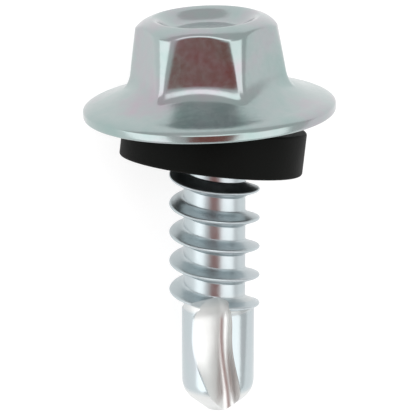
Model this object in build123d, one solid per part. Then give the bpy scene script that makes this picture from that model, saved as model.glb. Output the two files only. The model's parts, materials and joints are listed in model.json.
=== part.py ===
from build123d import *
import math
import os

# Hexagon washer head self drilling screw with a rubber sealing washer, in millimetres.
# The screw is one forged and thread-rolled piece; the washer is a loose rubber ring on its neck.
# Both are built upright: +Z runs up the screw to the head, Z = 0 is the plane of the flange rim's
# underside, and -Y is the front, which one flute and one flat of the hexagon face.
# At the end they are laid down as the screw comes to rest, on its flange and its drill point.

# Hexagon of the head: drafted flats on a tapered blank that does not quite fill its corners
flats = 6
across_flats = 8.07
flat_draft = 4.8
blank_draft = 9.5
corner_loss = 0.08
hexagon_turn = -6.5
head_height = 5.92
hexagon_foot = 2.4

# Crown: the eased edge all round the top, which runs from a flat ring down to the taper
crown_radius = 3.25
crown_drop = 0.57
crown_fullness = 0.41

# Dished indent in the top of the head
indent_radius = 3.2
indent_floor_radius = 1.3
indent_depth = 0.75

# Flange, swept up in a hollow curve to the hexagon, and dished underneath
flange_diameter = 15.26
rim_thickness = 0.67
rim_chamfer = 0.24
rim_slope = 13.0
flange_sweep_radius = 10.0
bearing_width = 0.42
dish_wall_radius = 5.75
dish_wall_depth = 0.62
dish_depth = 1.1
seam_turn = 3.0

# The head is upset slightly out of square with the shank
head_skew = 2.2
head_shift = -0.29

# Shank
core_diameter = 3.75
shank_length = 18.75

# Left-hand spaced thread
thread_diameter = 5.5
thread_pitch = 1.8
crest_width = 0.16
flank_angle = 23.0
thread_start = 3.36
thread_start_angle = 90.0
thread_turns = 4.9

# Drill point, pinched slightly off the axis of the shank
drill_diameter = 4.41
drill_shift = 0.22
drill_start = 11.75
drill_shoulder = 0.5
point_half_angle = 51.0
chisel_radius = 0.7
chisel_drop = 0.12

# Two flutes, straight at first and curling round towards the tip
# Each has a broad floor beside the web and a steep cutting face that leans over it.
flute_top = 10.8
flute_full_depth = 12.5
flute_top_turn = -9.0
flute_turn = 25.2
flute_web = 1.46
tip_web = 0.7
flute_corner = 0.15
flute_top_corner = 0.85
flute_corner_radius = 0.4
cutting_face_lean = 16.0
curl_start = 13.5
flute_curl = 25.0
tip_floor_lean = 22.0
flute_sections = 8

# Sealing washer
washer_diameter = 11.1
washer_hole = 4.8
washer_thickness = 2.6
washer_chamfer = 0.15
washer_lean_side = 6.6
washer_lean_back = 7.15
washer_drop = 3.16
washer_shift = (-0.23, -0.16)

# Overlap that lets one feature run on into the metal, or out of it into the air
bite = 0.3

# How closely the resting pose is worked out, in degrees
tilt_tolerance = 0.001


def slope(degrees):
    """Sideways travel for each millimetre along, at an angle from straight along."""
    return math.tan(math.radians(degrees))


core_radius = core_diameter / 2
drill_radius = drill_diameter / 2
thread_radius = thread_diameter / 2
flange_edge_radius = flange_diameter / 2 - rim_chamfer
dish_radius = flange_edge_radius - bearing_width
cone_height = (drill_radius - chisel_radius) / slope(point_half_angle)
cone_depth = shank_length - chisel_drop - cone_height
flute_end = shank_length + bite


def turned(*edges):
    """A solid of revolution about Z, from the edges of its closed half profile in X and Z."""
    return revolve(Plane.XZ * make_face(edges), Axis.Z)


def sweep_height(radius):
    """Height of the flange's hollow upper curve at a distance from the head's axis."""
    rise = math.radians(rim_slope)
    centre_radius = flange_edge_radius + flange_sweep_radius * math.sin(rise)
    centre_height = rim_thickness + flange_sweep_radius * math.cos(rise)
    return centre_height - math.sqrt(flange_sweep_radius**2 - (centre_radius - radius)**2)


def make_flange():
    """The swept flange, its seam turned so that the rim lies on the middle of one facet."""
    inner = across_flats / 2 - bite
    middle = (inner + flange_edge_radius) / 2
    top = sweep_height(inner)
    return Rot(0, 0, seam_turn) * turned(
        Line((0, top), (inner, top)),
        ThreePointArc((inner, top), (middle, sweep_height(middle)), (flange_edge_radius, rim_thickness)),
        Polyline(
            (flange_edge_radius, rim_thickness),
            (flange_diameter / 2, rim_thickness - rim_chamfer),
            (flange_diameter / 2, rim_chamfer),
            (flange_edge_radius, 0),
            (dish_radius, 0),
            (dish_wall_radius, dish_wall_depth),
            (0, dish_depth),
            (0, top),
        ),
    )


def hexagon_apothem(height):
    """Distance from the head's axis to a flat, at a height above the rim's underside."""
    middle = (head_height + hexagon_foot) / 2
    return across_flats / 2 + (middle - height) * slope(flat_draft)


def make_hexagon():
    """The drafted hexagon with a flat across +X, tall enough to pass through the blank."""
    base = dish_depth + bite
    outline = RegularPolygon(
        hexagon_apothem(base),
        flats,
        major_radius=False,
        rotation=180 / flats,
    )
    return extrude(Plane.XY.offset(base) * outline, head_height - base + bite, taper=flat_draft)


def blank_radius(height):
    """Radius of the tapered side of the hexagon's round blank at a height."""
    foot_radius = hexagon_apothem(hexagon_foot) / math.cos(math.pi / flats) - corner_loss
    return foot_radius - (height - hexagon_foot) * slope(blank_draft)


def make_head_blank():
    """The round blank of the hexagon: a taper with an eased crown and a dished indent on top."""
    taper_top = (blank_radius(head_height - crown_drop), head_height - crown_drop)
    taper_base = (blank_radius(dish_depth), dish_depth)
    bevel_radius = (crown_radius + taper_top[0]) / 2
    crown_pull = (
        bevel_radius + crown_fullness * (blank_radius(head_height) - bevel_radius),
        head_height - (1 - crown_fullness) * crown_drop / 2,
    )
    blank = turned(
        Line((0, head_height), (crown_radius, head_height)),
        Bezier((crown_radius, head_height), crown_pull, taper_top),
        Bezier(taper_top, taper_base),
        Polyline(taper_base, (0, dish_depth), (0, head_height)),
    )
    indent_floor = head_height - indent_depth
    indent = turned(
        Polyline(
            (0, head_height),
            (0, indent_floor),
            (indent_floor_radius, indent_floor),
            (indent_radius, head_height),
            (0, head_height),
        )
    )
    return blank - indent


def make_head():
    """Flange and hexagon in one, turned to where the hexagon faces."""
    hexagon = make_hexagon() & make_head_blank()
    return Rot(0, 0, hexagon_turn - 180 / flats) * (make_flange() + hexagon)


def make_core():
    """The plain core, from inside the head down into the drill point."""
    return Pos(0, 0, -drill_start - bite) * Cylinder(
        core_radius,
        drill_start + bite + dish_depth + bite,
        align=(Align.CENTER, Align.CENTER, Align.MIN),
    )


def make_thread():
    """One ridge wound left-handed round the core, cut off flat behind where it starts."""
    root = core_radius - bite / 2
    half_crest = crest_width / 2
    half_root = half_crest + (thread_radius - root) * slope(flank_angle)
    height = thread_turns * thread_pitch
    ridge = make_face(
        Polyline(
            (root, -half_root),
            (thread_radius, -half_crest),
            (thread_radius, half_crest),
            (root, half_root),
            close=True,
        )
    )
    path = Helix(thread_pitch, height, core_radius, lefthand=True)
    wound = sweep(Plane.XZ * ridge, path=path, is_frenet=True)
    end_turn = thread_start_angle + 360 * thread_turns
    wound = Pos(0, 0, -thread_start - height) * Rot(0, 0, end_turn) * wound
    lead_in = Box(
        thread_diameter,
        thread_diameter,
        thread_pitch,
        align=(Align.CENTER, Align.MIN, Align.MAX),
    )
    first_gap = -thread_start + half_root
    wound -= Pos(0, core_radius, first_gap) * lead_in
    return wound


def make_drill_blank():
    """The round blank of the drill point, before its flutes are pinched in."""
    return turned(
        Polyline(
            (0, -drill_start),
            (core_radius, -drill_start),
            (drill_radius, -drill_start - drill_shoulder),
            (drill_radius, -cone_depth),
            (chisel_radius, -shank_length + chisel_drop),
            (0, -shank_length),
            (0, -drill_start),
        )
    )


def flute_shape(depth):
    """Web beside the flute, turn of its floor from straight front and outward lean of the floor."""
    share = (depth - flute_full_depth) / (flute_end - flute_full_depth)
    curled = max(depth - curl_start, 0) / (flute_end - curl_start)
    eased = (1 - math.cos(math.pi * curled)) / 2
    web = flute_web + share * (tip_web - flute_web)
    return web, flute_turn + eased * flute_curl, eased * tip_floor_lean


def flute_section(depth, web, turn, floor_lean, corner):
    """One section of a flute: its floor and its cutting face meet in a corner beside the web."""
    reach = thread_radius + 2 * bite
    lean = math.radians(floor_lean)
    meeting = (web / 2, corner)
    floor_end = (web / 2 + reach * math.sin(lean), corner - reach * math.cos(lean))
    face_end = (reach, corner - (reach - web / 2) * slope(cutting_face_lean))
    section = make_face(
        Polyline(meeting, floor_end, (reach, floor_end[1]), face_end, close=True)
    )
    inner_corner = section.vertices().sort_by_distance(meeting)[0]
    section = fillet(inner_corner, flute_corner_radius)
    return Pos(0, 0, -depth) * Rot(0, 0, turn - 90) * section


def make_flute():
    """The cutters for one flute: a sloping run-out on top of a channel that curls at the tip."""
    full = flute_section(flute_full_depth, *flute_shape(flute_full_depth), flute_corner)
    top = flute_section(flute_top, core_diameter, flute_top_turn, 0, flute_top_corner)
    run_out = loft([full, top], ruled=True)
    sections = []
    for number in range(flute_sections):
        share = number / (flute_sections - 1)
        depth = flute_full_depth + share * (flute_end - flute_full_depth)
        sections.append(flute_section(depth, *flute_shape(depth), flute_corner))
    return run_out, loft(sections)


def make_screw():
    head = Pos(head_shift, 0, 0) * Rot(0, -head_skew, 0) * make_head()
    blank = Pos(drill_shift, 0, 0) * make_drill_blank()
    screw = head + make_core() + make_thread() + blank
    for half_turn in (0, 180):
        for cutter in make_flute():
            screw -= Pos(drill_shift, 0, 0) * Rot(0, 0, half_turn) * cutter
    return screw


def make_washer():
    ring = Cylinder(
        washer_diameter / 2,
        washer_thickness,
        align=(Align.CENTER, Align.CENTER, Align.MIN),
    )
    ring = chamfer(ring.edges().filter_by(GeomType.CIRCLE), washer_chamfer)
    ring -= Cylinder(washer_hole / 2, 3 * washer_thickness)
    place = Pos(washer_shift[0], washer_shift[1], -washer_drop)
    return place * Rot(-washer_lean_back, washer_lean_side, 0) * ring


def gap_direction(depth):
    """Turn of the middle of a flute's opening between the two lands, at a depth."""
    web, turn, floor_lean = flute_shape(depth)
    floor_tilt = math.radians(floor_lean)
    face_tilt = math.radians(cutting_face_lean)
    floor_distance = web / 2 * math.cos(floor_tilt) + flute_corner * math.sin(floor_tilt)
    face_distance = web / 2 * math.sin(face_tilt) + flute_corner * math.cos(face_tilt)
    floor_side = floor_tilt - math.acos(floor_distance / drill_radius)
    face_side = math.asin(face_distance / drill_radius) - face_tilt
    return turn + math.degrees(floor_side + face_side) / 2


def rolled(part):
    """The upright part turned so that its back flute, where the lands end, faces the floor."""
    return Rot(0, 0, -gap_direction(cone_depth)) * part


def tipped(part, tilt):
    """The part tipped back from upright until its axis rises by the tilt towards the head."""
    return Rot(tilt - 90, 0, 0) * part


def resting_tilt(screw):
    """Rise of the axis, in degrees, when the flange and the drill point touch one floor."""
    middle = Plane.XY.offset(-shank_length / 2)
    head_end = split(screw, middle, keep=Keep.TOP)
    point_end = split(screw, middle, keep=Keep.BOTTOM)
    tilt = 0.0
    step = 1.0
    while abs(step) > tilt_tolerance:
        head_low = tipped(head_end, tilt).bounding_box().min.Z
        point_low = tipped(point_end, tilt).bounding_box().min.Z
        step = math.degrees(math.asin((point_low - head_low) / shank_length))
        tilt += step
    return tilt


os.makedirs("parts", exist_ok=True)
screw = rolled(make_screw())
washer = rolled(make_washer())
tilt = resting_tilt(screw)
screw = tipped(screw, tilt)
washer = tipped(washer, tilt)
box = screw.bounding_box()
centred = Pos(-box.center().X, -box.center().Y, -box.min.Z)
export_step(centred * screw, "parts/screw.step")
export_step(centred * washer, "parts/sealing_washer.step")
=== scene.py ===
import json
import math
import bmesh
import bpy
from mathutils import Matrix, Vector

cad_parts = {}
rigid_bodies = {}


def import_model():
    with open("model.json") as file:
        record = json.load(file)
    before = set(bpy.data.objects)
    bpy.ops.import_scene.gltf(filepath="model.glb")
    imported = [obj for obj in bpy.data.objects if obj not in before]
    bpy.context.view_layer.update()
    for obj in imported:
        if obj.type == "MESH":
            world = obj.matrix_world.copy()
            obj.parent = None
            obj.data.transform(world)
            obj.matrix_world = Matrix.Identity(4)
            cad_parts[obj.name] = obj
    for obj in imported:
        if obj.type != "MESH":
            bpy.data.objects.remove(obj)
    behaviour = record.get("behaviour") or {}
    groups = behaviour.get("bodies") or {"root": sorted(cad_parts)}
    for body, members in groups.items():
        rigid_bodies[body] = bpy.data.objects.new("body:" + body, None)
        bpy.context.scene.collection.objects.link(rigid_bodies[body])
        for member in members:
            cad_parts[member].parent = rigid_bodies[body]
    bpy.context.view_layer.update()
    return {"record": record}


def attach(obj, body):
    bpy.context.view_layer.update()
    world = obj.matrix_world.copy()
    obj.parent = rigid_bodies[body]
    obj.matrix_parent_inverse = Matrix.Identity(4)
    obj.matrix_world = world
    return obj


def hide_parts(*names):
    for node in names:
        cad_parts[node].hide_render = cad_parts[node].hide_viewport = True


# Blender starts with objects of its own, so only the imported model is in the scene.
for leftover in list(bpy.data.objects):
    bpy.data.objects.remove(leftover, do_unlink=True)
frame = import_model()


# How the screw lies
# It rests on the flange and on the drill point, so its shank rises towards the head. The two mounts
# that run along the shank and the head say where it lies. Everything on it is given in millimetres
# up the shank from the plane of the flange rim, with the front at -Y, as it stands upright.
mm = 0.001
thread_start = 3.36
thread_pitch = 1.8
thread_turns = 4.9
head_skew = 2.2
head_shift = -0.29
mounts = {mount["name"]: mount for mount in frame["record"]["mounts"]}
along_shank = -Vector(mounts["thread"]["axis"]).normalized()
along_head = Vector(mounts["hex_drive"]["axis"])
backward = along_head.cross(along_shank).normalized()
sideways = backward.cross(along_shank)
thread_middle = thread_start + thread_turns * thread_pitch / 2
rim_centre = Vector(mounts["thread"]["pos_m"]) + along_shank * thread_middle * mm
lying = Matrix.Translation(rim_centre) @ Matrix(
    (sideways, backward, along_shank)
).transposed().to_4x4() @ Matrix.Scale(mm, 4)
head_place = Matrix.Translation((head_shift, 0, 0)) @ Matrix.Rotation(
    math.radians(-head_skew), 4, "Y"
)


# Camera
# A long lens square to the shank and a little above the flange, so the head is seen from above and
# the drill point from the side.
aim = Vector((-0.27, 0.0, -6.05))
camera_distance = 200.0
camera_rise = math.radians(15.6)
frame_width = 25.45
toward_camera = Vector((0, -math.cos(camera_rise), math.sin(camera_rise)))
camera = bpy.data.objects.new("camera", bpy.data.cameras.new("camera"))
camera.data.lens = camera.data.sensor_width * camera_distance / frame_width
camera.data.clip_start = 10 * mm
camera.data.clip_end = 10000 * mm
camera.location = lying @ (aim + toward_camera * camera_distance)
camera_back = (lying.to_3x3() @ toward_camera).normalized()
camera_right = along_shank.cross(camera_back).normalized()
camera_up = camera_back.cross(camera_right)
camera.rotation_euler = Matrix((camera_right, camera_up, camera_back)).transposed().to_euler()
bpy.context.scene.collection.objects.link(camera)
bpy.context.scene.camera = camera


# Screw
# One piece of carbon steel wire: the indented hexagon and the wide flange are upset from it, the
# left-hand thread is rolled on, the drill point is pinched to shape, and the whole is zinc plated.
core_radius = 1.875
shank_length = 18.748
smooth_below = math.radians(35)


def soften(piece):
    """Faces point outwards and shade smoothly across every edge flatter than the angle."""
    skin = bmesh.new()
    skin.from_mesh(piece.data)
    bmesh.ops.recalc_face_normals(skin, faces=skin.faces)
    skin.to_mesh(piece.data)
    skin.free()
    piece.data.shade_smooth()
    piece.data.set_sharp_from_angle(angle=smooth_below)


def mesh_object(name, vertices, faces, place):
    """A piece from its vertices and faces, put in its place and shaded."""
    mesh = bpy.data.meshes.new(name)
    mesh.from_pydata([tuple(place @ Vector(v)) for v in vertices], [], faces)
    mesh.update()
    piece = bpy.data.objects.new(name, mesh)
    bpy.context.scene.collection.objects.link(piece)
    soften(piece)
    return piece


def quads(columns, rows, columns_close, rows_close):
    """Quads over a grid of points, held column by column, that may close either way."""
    faces = []
    for column in range(columns if columns_close else columns - 1):
        following = (column + 1) % columns
        for row in range(rows if rows_close else rows - 1):
            below = (row + 1) % rows
            faces.append(
                (
                    column * rows + row,
                    column * rows + below,
                    following * rows + below,
                    following * rows + row,
                )
            )
    return faces


def turned_solid(name, turns, profiles, place, ends=()):
    """A solid round Z with one profile of (radius, height) at each angle.

    The ends are heights on the axis that close the profile's two ends. Without them the profile is
    a ring that closes on itself.
    """
    rows = len(profiles[0])
    vertices = []
    for turn, profile in zip(turns, profiles):
        vertices += [(r * math.cos(turn), r * math.sin(turn), z) for r, z in profile]
    faces = quads(len(turns), rows, columns_close=True, rows_close=not ends)
    for height, row in zip(ends, (0, rows - 1)):
        vertices.append((0, 0, height))
        for column in range(len(turns)):
            following = (column + 1) % len(turns)
            faces.append((len(vertices) - 1, column * rows + row, following * rows + row))
    return mesh_object(name, vertices, faces, place)


def swept_solid(name, outlines, place):
    """A solid through closed outlines of points, one after another, with both ends filled."""
    width = len(outlines[0])
    vertices = [point for outline in outlines for point in outline]
    faces = quads(len(outlines), width, columns_close=False, rows_close=True)
    faces.append(tuple(range(width)))
    faces.append(tuple(range(len(vertices) - width, len(vertices))))
    return mesh_object(name, vertices, faces, place)


def arc(centre, radius, start, end, steps):
    """Points on an arc between two angles, in radians, both ends included."""
    turns = [start + (end - start) * step / steps for step in range(steps + 1)]
    return [(centre[0] + radius * math.cos(t), centre[1] + radius * math.sin(t)) for t in turns]


def curve(start, pull, end, steps):
    """Points on a curve from start to end, drawn towards the pull, without its start."""
    points = []
    for step in range(1, steps + 1):
        share = step / steps
        weights = ((1 - share) ** 2, 2 * share * (1 - share), share**2)
        points.append(
            tuple(sum(w * p[axis] for w, p in zip(weights, (start, pull, end))) for axis in (0, 1))
        )
    return points


def soft_minimum(first, second, softness):
    """The smaller of two lengths, blended where they are closer than the softness."""
    blend = max(softness - abs(first - second), 0) / softness
    return min(first, second) - blend * blend * softness / 4


# The head is a drafted hexagon with a soft top edge. It is cut from a tapered round blank that
# doesn't quite fill its corners.
flats = 6
across_flats = 8.07
flat_draft = math.radians(4.8)
corner_softness = 0.28
hexagon_turn = -6.5
head_height = 5.918
hexagon_foot = 2.4
blank_draft = math.radians(9.5)
corner_loss = 0.08
crown_radius = 3.25
crown_drop = 0.57
crown_fullness = 0.41
crown_softness = 0.15
crown_rows = 14
side_rows = 16


def apothem(height):
    """Distance from the head's axis to a flat at a height, in from its middle by the draft."""
    return across_flats / 2 + ((head_height + hexagon_foot) / 2 - height) * math.tan(flat_draft)


blank_foot_radius = apothem(hexagon_foot) / math.cos(math.pi / flats) - corner_loss


def blank_radius(height):
    """Radius of the tapered round blank at a height."""
    return blank_foot_radius - (height - hexagon_foot) * math.tan(blank_draft)


# In its top is a shallow dished indent, with a sloping wall round a flat floor.
indent_radius = 3.2
indent_floor_radius = 1.9
indent_depth = 0.75
indent_rows = 16
indent_profile = []
for row in range(1, indent_rows + 1):
    radius = indent_radius * (row / indent_rows)
    wall = min(max((radius - indent_floor_radius) / (indent_radius - indent_floor_radius), 0), 1)
    indent_profile.append((radius, head_height - indent_depth * (1 - wall * wall * (3 - 2 * wall))))
crown_start = (crown_radius, head_height)
crown_end = (blank_radius(head_height - crown_drop), head_height - crown_drop)
bevel_radius = (crown_radius + crown_end[0]) / 2
crown_pull = (
    bevel_radius + crown_fullness * (blank_radius(head_height) - bevel_radius),
    head_height - (1 - crown_fullness) * crown_drop / 2,
)
crown_profile = [crown_start] + curve(crown_start, crown_pull, crown_end, crown_rows)

# The flange's top is swept hollow from its rim up to the hexagon, which it meets in a fillet that
# reaches from foot_top down and foot_reach out.
foot_top = 2.74
foot_reach = 0.46
foot_rows = 10
foot_tries = 12
flange_radius = 7.6
flange_sweep_radius = 10.0
sweep_rows = 18
rim_thickness = 0.67
rim_rise = 0.02
rim_slope = math.radians(13)
sweep_centre = (
    flange_radius + flange_sweep_radius * math.sin(rim_slope),
    rim_thickness + rim_rise + flange_sweep_radius * math.cos(rim_slope),
)


def sweep_height(radius):
    """Height of the flange's hollow top at a distance from the head's axis."""
    return sweep_centre[1] - math.sqrt(flange_sweep_radius**2 - (sweep_centre[0] - radius)**2)


# The rim rolls over into a short wall, with a small nose under it. Underneath, a narrow bearing
# ring runs round a shallow dish.
rim_roll = 0.9
rim_wall_top = 0.46
rim_rows = 10
rim_nose = 0.18
nose_rows = 6
bearing_width = 0.42
dish_wall_radius = 5.75
dish_wall_depth = 0.62
dish_depth = 1.1
rim_start = (flange_radius - rim_roll, sweep_height(flange_radius - rim_roll))
rim_pull = (flange_radius, sweep_height(flange_radius))
rim_profile = [rim_start] + curve(rim_start, rim_pull, (flange_radius, rim_wall_top), rim_rows)
rim_profile += arc((flange_radius - rim_nose, rim_nose), rim_nose, 0, -math.pi / 2, nose_rows)
rim_profile += [
    (flange_radius - rim_nose - bearing_width, 0.0),
    (dish_wall_radius, dish_wall_depth),
    (core_radius, dish_depth),
]


def head_profile(turn):
    """The head's outline at an angle, from the middle of the top to the middle underneath."""
    nearest = round(turn / (math.tau / flats)) * math.tau / flats
    off_flat = turn - nearest
    flat_sweep = 1 / math.cos(off_flat)
    next_flat = 1 / math.cos(math.tau / flats - abs(off_flat))

    def skin_radius(height, blank):
        """How far out the hexagon's skin is, where flat, next flat and blank all allow it."""
        flat = soft_minimum(
            apothem(height) * flat_sweep, apothem(height) * next_flat, corner_softness
        )
        return soft_minimum(flat, blank, crown_softness)

    points = indent_profile + [(skin_radius(z, r), z) for r, z in crown_profile]
    side_top = points[-1][1]
    for row in range(1, side_rows + 1):
        z = side_top + (foot_top - side_top) * row / side_rows
        points.append((skin_radius(z, blank_radius(z)), z))
    # The hexagon's foot is where its side would meet the hollow top, and each try comes nearer.
    height = hexagon_foot
    for _ in range(foot_tries):
        height = sweep_height(skin_radius(height, blank_radius(height)))
    foot = (skin_radius(height, blank_radius(height)), height)
    sweep_start = foot[0] + foot_reach
    points += curve(points[-1], foot, (sweep_start, sweep_height(sweep_start)), foot_rows)
    for row in range(1, sweep_rows):
        radius = sweep_start + (rim_start[0] - sweep_start) * row / sweep_rows
        points.append((radius, sweep_height(radius)))
    return points + rim_profile


# The columns of points stand closer together towards the corners between the flats.
flat_columns = 48
corner_bunching = 0.75
head_turns = []
for side in range(flats):
    for step in range(flat_columns):
        share = step / flat_columns * 2 - 1
        bunched = math.copysign(abs(share) ** corner_bunching, share)
        head_turns.append((side + bunched / 2) * math.tau / flats)
hexagon_facing = Matrix.Rotation(math.radians(hexagon_turn - 90), 4, "Z")
screw = turned_solid(
    "zinc_plated_screw", head_turns, [head_profile(turn) for turn in head_turns],
    lying @ head_place @ hexagon_facing, ends=(head_height - indent_depth, dish_depth),
)

# The core of the shank runs from inside the head into the drill point. The drill point is wider,
# stands a little off the core's axis, and ends in a cone with a small chisel tip.
shank_columns = 256
core_in_head = 1
core_in_drill = 1.2
drill_radius = 2.205
drill_shift = 0.22
drill_start = 11.75
drill_shoulder = 0.5
point_half_angle = math.radians(51)
point_corner_radius = 1.5
point_corner_rows = 10
chisel_radius = 0.7
chisel_drop = 0.12
shank_turns = [math.tau * column / shank_columns for column in range(shank_columns)]
core_ends = (dish_depth + core_in_head, -drill_start - core_in_drill)
core = turned_solid(
    "core", shank_turns, [[(core_radius, z) for z in core_ends]] * shank_columns, lying, core_ends
)
cone_length = (drill_radius - chisel_radius) / math.tan(point_half_angle)
cone_depth = shank_length - chisel_drop - cone_length
point_corner_length = point_corner_radius * math.tan(point_half_angle / 2)
drill_profile = [
    (core_radius, -drill_start),
    (drill_radius, -drill_start - drill_shoulder),
    *arc(
        (drill_radius - point_corner_radius, -cone_depth + point_corner_length),
        point_corner_radius, 0, -point_half_angle, point_corner_rows,
    ),
    (chisel_radius, -shank_length + chisel_drop),
]
drill = turned_solid(
    "drill", shank_turns, [drill_profile] * shank_columns,
    lying @ Matrix.Translation((drill_shift, 0, 0)), ends=(-drill_start, -shank_length),
)

# The thread is one ridge wound to the left, with rolled, rounded roots and a rounded crest. Both
# ends fade into the core and get narrower.
thread_radius = 2.75
crest_width = 0.16
flank_angle = math.radians(21)
root_sink = 0.14
first_turn = 90.0
thread_fade = 35.0
faded_width = 0.35
steps_per_turn = 120
ridge_height = thread_radius - core_radius
root_half_width = crest_width / 2 + ridge_height * math.tan(flank_angle)
# Half of the ridge's outline as points of (out from the core, along the shank), root to crest.
ridge_half = [
    (-root_sink, root_half_width + 0.14),
    (0.012, root_half_width + 0.08),
    (0.05, root_half_width + 0.02),
    (0.15, root_half_width - 0.05),
    (0.3, root_half_width - 0.3 * math.tan(flank_angle)),
    (ridge_height - 0.12, crest_width / 2 + 0.12 * math.tan(flank_angle)),
    (ridge_height - 0.055, crest_width / 2 + 0.01),
    (ridge_height - 0.015, crest_width / 2 - 0.035),
    (ridge_height, 0.0),
]
ridge = ridge_half + [(out, -along) for out, along in reversed(ridge_half[:-1])]
ridge_outlines = []
for step in range(int(thread_turns * steps_per_turn) + 1):
    degrees = step * 360 / steps_per_turn
    depth = thread_start + thread_pitch * degrees / 360
    end = min(degrees, thread_turns * 360 - degrees) / thread_fade
    fade = math.sin(min(end, 1) * math.pi / 2)
    narrowing = faded_width + (1 - faded_width) * fade
    turn = math.radians(first_turn + degrees)
    outline = []
    for out, along in ridge:
        radius = core_radius - root_sink + (out + root_sink) * fade
        outline.append(
            (radius * math.cos(turn), radius * math.sin(turn), -depth + along * narrowing)
        )
    ridge_outlines.append(outline)
thread = swept_solid("thread", ridge_outlines, lying)

# Two flutes, pinched straight at first and curling round at the tip. Each has a broad floor beside
# the web and a steep cutting face that leans over it. At the top it runs out in a leaf shape.
flute_top = 10.5
flute_full_depth = 12.9
flute_overrun = 0.3
flute_end = shank_length + flute_overrun
flute_reach = 3.35
flute_top_turn = -9.0
flute_turn = 25.2
flute_web = 1.46
tip_web = 0.7
flute_corner = 0.34
flute_top_corner = 0.85
flute_corner_radius = 0.5
flute_corner_rows = 12
cutting_face_lean = math.radians(16)
top_floor_lean = 34.0
tip_floor_lean = 22.0
curl_start = 13.5
flute_curl = 25.0
run_out_rows = 12
curl_rows = 32


def flute_section(web, floor_lean, corner):
    """A flute's outline as points of (out, across): its floor, the round corner and its face."""
    floor_line = (math.sin(floor_lean), -math.cos(floor_lean))
    face_line = (math.cos(cutting_face_lean), -math.sin(cutting_face_lean))
    opening = math.acos(sum(a * b for a, b in zip(floor_line, face_line)))
    tangent = flute_corner_radius / math.tan(opening / 2)
    middle = [(a + b) / (2 * math.cos(opening / 2)) for a, b in zip(floor_line, face_line)]
    away = flute_corner_radius / math.sin(opening / 2)
    centre = (web / 2 + middle[0] * away, corner + middle[1] * away)
    first = math.atan2(
        corner + floor_line[1] * tangent - centre[1], web / 2 + floor_line[0] * tangent - centre[0]
    )
    last = first + (opening - math.pi)
    floor_end = (web / 2 + floor_line[0] * flute_reach, corner + floor_line[1] * flute_reach)
    face_length = (flute_reach - web / 2) / face_line[0]
    return [
        (flute_reach, floor_end[1]),
        floor_end,
        *arc(centre, flute_corner_radius, first, last, flute_corner_rows),
        (flute_reach, corner + face_line[1] * face_length),
    ]


sections = []
for number in range(run_out_rows):
    share = number / run_out_rows
    eased = math.sin(share * math.pi / 2)
    depth = flute_top + share * (flute_full_depth - flute_top)
    web = 2 * core_radius + eased * (flute_web - 2 * core_radius)
    corner = flute_top_corner + eased * (flute_corner - flute_top_corner)
    turn = flute_top_turn + eased * (flute_turn - flute_top_turn)
    lean = math.radians((1 - eased) * top_floor_lean)
    sections.append((depth, turn, flute_section(web, lean, corner)))
for number in range(curl_rows + 1):
    share = number / curl_rows
    depth = flute_full_depth + share * (flute_end - flute_full_depth)
    curled = max(depth - curl_start, 0) / (flute_end - curl_start)
    eased = (1 - math.cos(math.pi * curled)) / 2
    web = flute_web + share * (tip_web - flute_web)
    turn = flute_turn + eased * flute_curl
    lean = math.radians(eased * tip_floor_lean)
    sections.append((depth, turn, flute_section(web, lean, flute_corner)))
flutes = []
for half_turn in (0, 180):
    outlines = []
    for depth, turn, section in sections:
        angle = math.radians(turn - 90 + half_turn)
        outlines.append(
            [
                (
                    drill_shift + out * math.cos(angle) - across * math.sin(angle),
                    out * math.sin(angle) + across * math.cos(angle),
                    -depth,
                )
                for out, across in section
            ]
        )
    flutes.append(swept_solid("flute", outlines, lying))


def combine(piece, tool, operation):
    """Join or cut one solid with another, then drop the tool."""
    step = piece.modifiers.new("join", "BOOLEAN")
    step.operation = operation
    step.solver = "EXACT"
    step.object = tool
    dependencies = bpy.context.evaluated_depsgraph_get()
    mesh = bpy.data.meshes.new_from_object(piece.evaluated_get(dependencies))
    piece.modifiers.clear()
    piece.data = mesh
    bpy.data.objects.remove(tool, do_unlink=True)


for solid in (core, drill, thread):
    combine(screw, solid, "UNION")
for flute in flutes:
    combine(screw, flute, "DIFFERENCE")
soften(screw)


def linear(hex_colour):
    """An sRGB hex colour as the linear RGBA that Blender's sockets take."""
    values = [int(hex_colour[start : start + 2], 16) / 255 for start in (1, 3, 5)]
    return [v / 12.92 if v <= 0.04045 else ((v + 0.055) / 1.055) ** 2.4 for v in values] + [1.0]


def node(tree, kind, settings, links):
    """A shader node with its settings and socket values, linked from other nodes' outputs."""
    made = tree.nodes.new(kind)
    for name, value in settings.items():
        if isinstance(name, int) or name in made.inputs:
            made.inputs[name].default_value = value
        else:
            setattr(made, name, value)
    for name, source in links.items():
        tree.links.new(source, made.inputs[name])
    return made


def new_material(name, settings):
    """A material, its node tree and its shader, with the values that are the same all over."""
    material = bpy.data.materials.new(name)
    material.use_nodes = True
    shader = material.node_tree.nodes["Principled BSDF"]
    for socket, value in settings.items():
        shader.inputs[socket].default_value = value
    return material, material.node_tree, shader


# Bright zinc, electroplated in a barrel under a thin clear-blue passivate. To the eye it is a soft
# mirror whose film drifts between rose, grey and teal, over broad waves from the heading die and
# the fine grain of the plating. Real grain is finer than shows, so it is drawn 0.38 mm wide.
film_patch = 3.03
film_colours = ((0.3, "#A9A3AA"), (0.5, "#A0ABAB"), (0.7, "#96A9A7"))
wave_length = 1.111
wave_height = 0.012
grain_width = 0.3846
grain_height = 0.006
grain_gloss = (0.17, 0.24)
zinc, tree, shader = new_material("bright_zinc_clear_blue_passivated", {"Metallic": 1.0})
place = node(tree, "ShaderNodeTexCoord", {}, {}).outputs["Object"]
film = node(
    tree, "ShaderNodeTexNoise",
    {"Scale": 1 / (film_patch * mm), "Detail": 4.0, "Roughness": 0.6}, {"Vector": place},
)
tint = node(tree, "ShaderNodeValToRGB", {}, {"Fac": film.outputs["Fac"]})
tint.color_ramp.elements.new(0.5)
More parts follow.
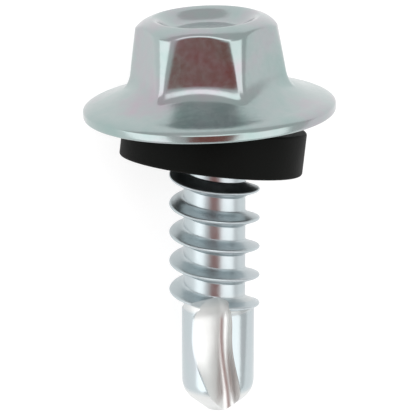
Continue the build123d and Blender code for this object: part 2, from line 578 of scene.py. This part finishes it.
for stop, (position, colour) in zip(tint.color_ramp.elements, film_colours):
    stop.position = position
    stop.color = linear(colour)

# Where on the screw a point is: how far down the shank, and how far from the drill point's axis.
from_axis = node(
    tree, "ShaderNodeVectorMath",
    {"operation": "SUBTRACT", 1: lying @ Vector((drill_shift, 0, 0))}, {0: place},
)
down = node(
    tree, "ShaderNodeVectorMath", {"operation": "DOT_PRODUCT", 1: -along_shank},
    {0: from_axis.outputs["Vector"]},
).outputs["Value"]
around = node(
    tree, "ShaderNodeVectorMath", {"operation": "CROSS_PRODUCT", 1: along_shank},
    {0: from_axis.outputs["Vector"]},
)
off_axis = node(
    tree, "ShaderNodeVectorMath", {"operation": "LENGTH"}, {0: around.outputs["Vector"]}
)

# The shank carries a paler film than the head from 4 mm down. In the flutes the base colour is
# palest: a painted highlight that makes the flute floors read near white.
shank_colour = "#BEC7CB"
shank_from, shank_full, shank_share = 2.0, 4.0, 0.75
flute_highlight_colour = "#D8DAD9"
flute_skin_from, flute_skin_full = 2.17, 2.04
point_from, point_full = 10.9, 11.9
in_flute = node(
    tree, "ShaderNodeMapRange",
    {"From Min": flute_skin_from * mm, "From Max": flute_skin_full * mm},
    {"Value": off_axis.outputs["Value"]},
)
on_point = node(
    tree, "ShaderNodeMapRange", {"From Min": point_from * mm, "From Max": point_full * mm},
    {"Value": down},
)
pinched = node(
    tree, "ShaderNodeMath", {"operation": "MULTIPLY"},
    {0: in_flute.outputs["Result"], 1: on_point.outputs["Result"]},
).outputs["Value"]
on_shank = node(
    tree, "ShaderNodeMapRange",
    {"From Min": shank_from * mm, "From Max": shank_full * mm, "To Max": shank_share},
    {"Value": down},
)
shank_tint = node(
    tree, "ShaderNodeMixRGB", {"Color2": linear(shank_colour)},
    {"Fac": on_shank.outputs["Result"], "Color1": tint.outputs["Color"]},
)
# Painted highlight: the flutes get a paler base colour so that they look brightly lit.
flute_highlight_tint = node(
    tree, "ShaderNodeMixRGB", {"Color2": linear(flute_highlight_colour)},
    {"Fac": pinched, "Color1": shank_tint.outputs["Color"]},
)
tree.links.new(flute_highlight_tint.outputs["Color"], shader.inputs["Base Color"])

# The rolled thread and its roots are duller than the head, and the flutes are duller still.
thread_centre = 7.0
thread_dull_from, thread_dull_full, thread_dullness = 5.2, 4.5, 0.12
flute_dullness = 0.18
grain = node(
    tree, "ShaderNodeTexNoise",
    {"Scale": 1 / (grain_width * mm), "Detail": 5.0, "Roughness": 0.65}, {"Vector": place},
)
shine = node(
    tree, "ShaderNodeMapRange",
    {"From Min": 0.3, "From Max": 0.7, "To Min": grain_gloss[0], "To Max": grain_gloss[1]},
    {"Value": grain.outputs["Fac"]},
)
from_centre = node(
    tree, "ShaderNodeMath", {"operation": "SUBTRACT", 1: thread_centre * mm}, {0: down}
)
off_centre = node(
    tree, "ShaderNodeMath", {"operation": "ABSOLUTE"}, {0: from_centre.outputs["Value"]}
)
rolled = node(
    tree, "ShaderNodeMapRange",
    {
        "From Min": thread_dull_from * mm,
        "From Max": thread_dull_full * mm,
        "To Max": thread_dullness,
    },
    {"Value": off_centre.outputs["Value"]},
)
thread_gloss = node(
    tree, "ShaderNodeMath", {"operation": "ADD"},
    {0: shine.outputs["Result"], 1: rolled.outputs["Result"]},
)
flute_gloss = node(
    tree, "ShaderNodeMath", {"operation": "MULTIPLY_ADD", 1: flute_dullness},
    {0: pinched, 2: thread_gloss.outputs["Value"]},
)
tree.links.new(flute_gloss.outputs["Value"], shader.inputs["Roughness"])
waves = node(
    tree, "ShaderNodeTexNoise", {"Scale": 1 / (wave_length * mm), "Detail": 2.0}, {"Vector": place}
)
swell = node(
    tree, "ShaderNodeBump", {"Strength": 0.5, "Distance": wave_height * mm},
    {"Height": waves.outputs["Fac"]},
)
relief = node(
    tree, "ShaderNodeBump", {"Strength": 0.5, "Distance": grain_height * mm},
    {"Height": grain.outputs["Fac"], "Normal": swell.outputs["Normal"]},
)
tree.links.new(relief.outputs["Normal"], shader.inputs["Normal"])
screw.data.materials.append(zinc)
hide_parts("screw")
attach(screw, "root")


# Sealing washer
# A moulded ring of black EPDM rubber, loose on the neck between the flange and the first turn of
# the thread. It hangs askew, so one side sits up against the flange.
washer_radius = 5.55
washer_hole_radius = 2.4
washer_thickness = 2.6
washer_edge = 0.16
washer_edge_rows = 6
washer_columns = 192
washer_underside = (-0.23, -0.16, -3.16)
washer_lean_forward = math.radians(-7.15)
washer_lean_sideways = math.radians(6.6)
washer_place = (
    Matrix.Translation(washer_underside)
    @ Matrix.Rotation(washer_lean_forward, 4, "X")
    @ Matrix.Rotation(washer_lean_sideways, 4, "Y")
)
outer_edge = washer_radius - washer_edge
inner_edge = washer_hole_radius + washer_edge
top_edge = washer_thickness - washer_edge
ring = []
for centre, start, end in (
    ((outer_edge, top_edge), math.pi / 2, 0),
    ((outer_edge, washer_edge), 0, -math.pi / 2),
    ((inner_edge, washer_edge), -math.pi / 2, -math.pi),
    ((inner_edge, top_edge), math.pi, math.pi / 2),
):
    ring += arc(centre, washer_edge, start, end, washer_edge_rows)
washer_turns = [math.tau * column / washer_columns for column in range(washer_columns)]
washer = turned_solid(
    "rubber_sealing_washer", washer_turns, [ring] * washer_columns, lying @ washer_place
)

# Black EPDM rubber, matt from its mould: a dull skin with a little grey bloom in soft patches and
# fine pores. The pores are drawn 0.15 mm wide, as coarse as they need to be to show.
bloom_patch = 1.923
pore_width = 0.15385
pore_depth = 0.03
bloom_gloss = (0.5, 0.72)
rubber, tree, shader = new_material("black_epdm_rubber", {"Specular IOR Level": 0.07})
place = node(tree, "ShaderNodeTexCoord", {}, {}).outputs["Object"]
bloom = node(
    tree, "ShaderNodeTexNoise", {"Scale": 1 / (bloom_patch * mm), "Detail": 3.0}, {"Vector": place}
)
tint = node(tree, "ShaderNodeValToRGB", {}, {"Fac": bloom.outputs["Fac"]})
for stop, colour in zip(tint.color_ramp.elements, ("#040504", "#0D0F0D")):
    stop.color = linear(colour)
tree.links.new(tint.outputs["Color"], shader.inputs["Base Color"])
dullness = node(
    tree, "ShaderNodeMapRange", {"To Min": bloom_gloss[0], "To Max": bloom_gloss[1]},
    {"Value": bloom.outputs["Fac"]},
)
tree.links.new(dullness.outputs["Result"], shader.inputs["Roughness"])
pores = node(
    tree, "ShaderNodeTexNoise", {"Scale": 1 / (pore_width * mm), "Detail": 2.0}, {"Vector": place}
)
relief = node(
    tree, "ShaderNodeBump", {"Strength": 0.35, "Distance": pore_depth * mm},
    {"Height": pores.outputs["Fac"]},
)
tree.links.new(relief.outputs["Normal"], shader.inputs["Normal"])
washer.data.materials.append(rubber)
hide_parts("sealing_washer")
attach(washer, "root")


# Floor and light
# The screw lies on a light table under a pale sky. Soft boxes stand to its left, over the camera
# and to its right. A brown board stands under the camera, where the front flat of the head and the
# middle of the shank mirror it.
sky_colour = "#FCFAFA"
sky_brightness = 0.82
table_half_width = 1000 * mm
table_corners = [
    (across * table_half_width, back * table_half_width, 0)
    for across, back in ((-1, -1), (1, -1), (1, 1), (-1, 1))
]
floor = mesh_object("floor", table_corners, [(0, 1, 2, 3)], Matrix())

# Opal acrylic with a matt face, lit from below: an even white glow over the faintest cloudiness.
table_glow = 0.72
cloud_patch = 0.7143
acrylic, tree, shader = new_material(
    "opal_acrylic_light_table",
    {
        "Roughness": 0.9,
        "Specular IOR Level": 0.1,
        "Emission Color": linear("#FFFFFF"),
        "Emission Strength": table_glow,
    },
)
place = node(tree, "ShaderNodeTexCoord", {}, {}).outputs["Object"]
cloud = node(
    tree, "ShaderNodeTexNoise", {"Scale": 1 / (cloud_patch * mm), "Detail": 4.0}, {"Vector": place}
)
tint = node(tree, "ShaderNodeValToRGB", {}, {"Fac": cloud.outputs["Fac"]})
for stop, colour in zip(tint.color_ramp.elements, ("#A6A6A6", "#ABABAB")):
    stop.color = linear(colour)
tree.links.new(tint.outputs["Color"], shader.inputs["Base Color"])
floor.data.materials.append(acrylic)

world = bpy.data.worlds.new("studio")
bpy.context.scene.world = world
world.use_nodes = True
world.node_tree.nodes["Background"].inputs["Color"].default_value = linear(sky_colour)
world.node_tree.nodes["Background"].inputs["Strength"].default_value = sky_brightness
bpy.context.scene.view_settings.view_transform = "Standard"


def direction(azimuth, rise):
    """A direction from the screw, in degrees: the azimuth runs to the right from the front."""
    turn, up = math.radians(azimuth), math.radians(rise)
    return Vector((math.sin(turn) * math.cos(up), -math.cos(turn) * math.cos(up), math.sin(up)))


box_distance = 250


def soft_box(name, azimuth, rise, width, height, brightness, colour):
    """A rectangular light that faces the screw, sized in millimetres, as bright as it looks."""
    light = bpy.data.lights.new(name, "AREA")
    light.shape = "RECTANGLE"
    light.size = width * mm
    light.size_y = height * mm
    light.energy = brightness * math.pi * light.size * light.size_y
    light.color = linear(colour)[:3]
    box = bpy.data.objects.new(name, light)
    outward = direction(azimuth, rise)
    across = Vector((math.cos(math.radians(azimuth)), math.sin(math.radians(azimuth)), 0))
    facing = Matrix((across, outward.cross(across), outward)).transposed().to_4x4()
    place = lying @ Matrix.Translation(aim + outward * box_distance) @ facing
    box.matrix_world = place.normalized()
    bpy.context.scene.collection.objects.link(box)


soft_box("left_box", -78, -12, 420, 330, 1.2, "#FFFFFF")
soft_box("front_box", 4, 36, 260, 130, 1.15, "#FFFFFF")
soft_box("right_box", 49, -12, 232, 330, 1.05, "#FFFDFC")

# Brown card. Only its image in the zinc is seen, so it is drawn as an even brown glow.
board_distance = 160
board_left, board_right = -18, 22
board_foot, board_top = -34, 9
board_corners = [
    aim + direction(azimuth, rise) * board_distance
    for azimuth, rise in (
        (board_left, board_foot),
        (board_right, board_foot),
        (board_right, board_top),
        (board_left, board_top),
    )
]
board = mesh_object("brown_board", board_corners, [(0, 1, 2, 3)], lying)
card = new_material(
    "brown_card",
    {
        "Base Color": linear("#000000"),
        "Specular IOR Level": 0.0,
        "Emission Color": linear("#9A5A52"),
        "Emission Strength": 1.0,
    },
)[0]
board.data.materials.append(card)
board.visible_camera = False
board.visible_shadow = False
board.visible_diffuse = False
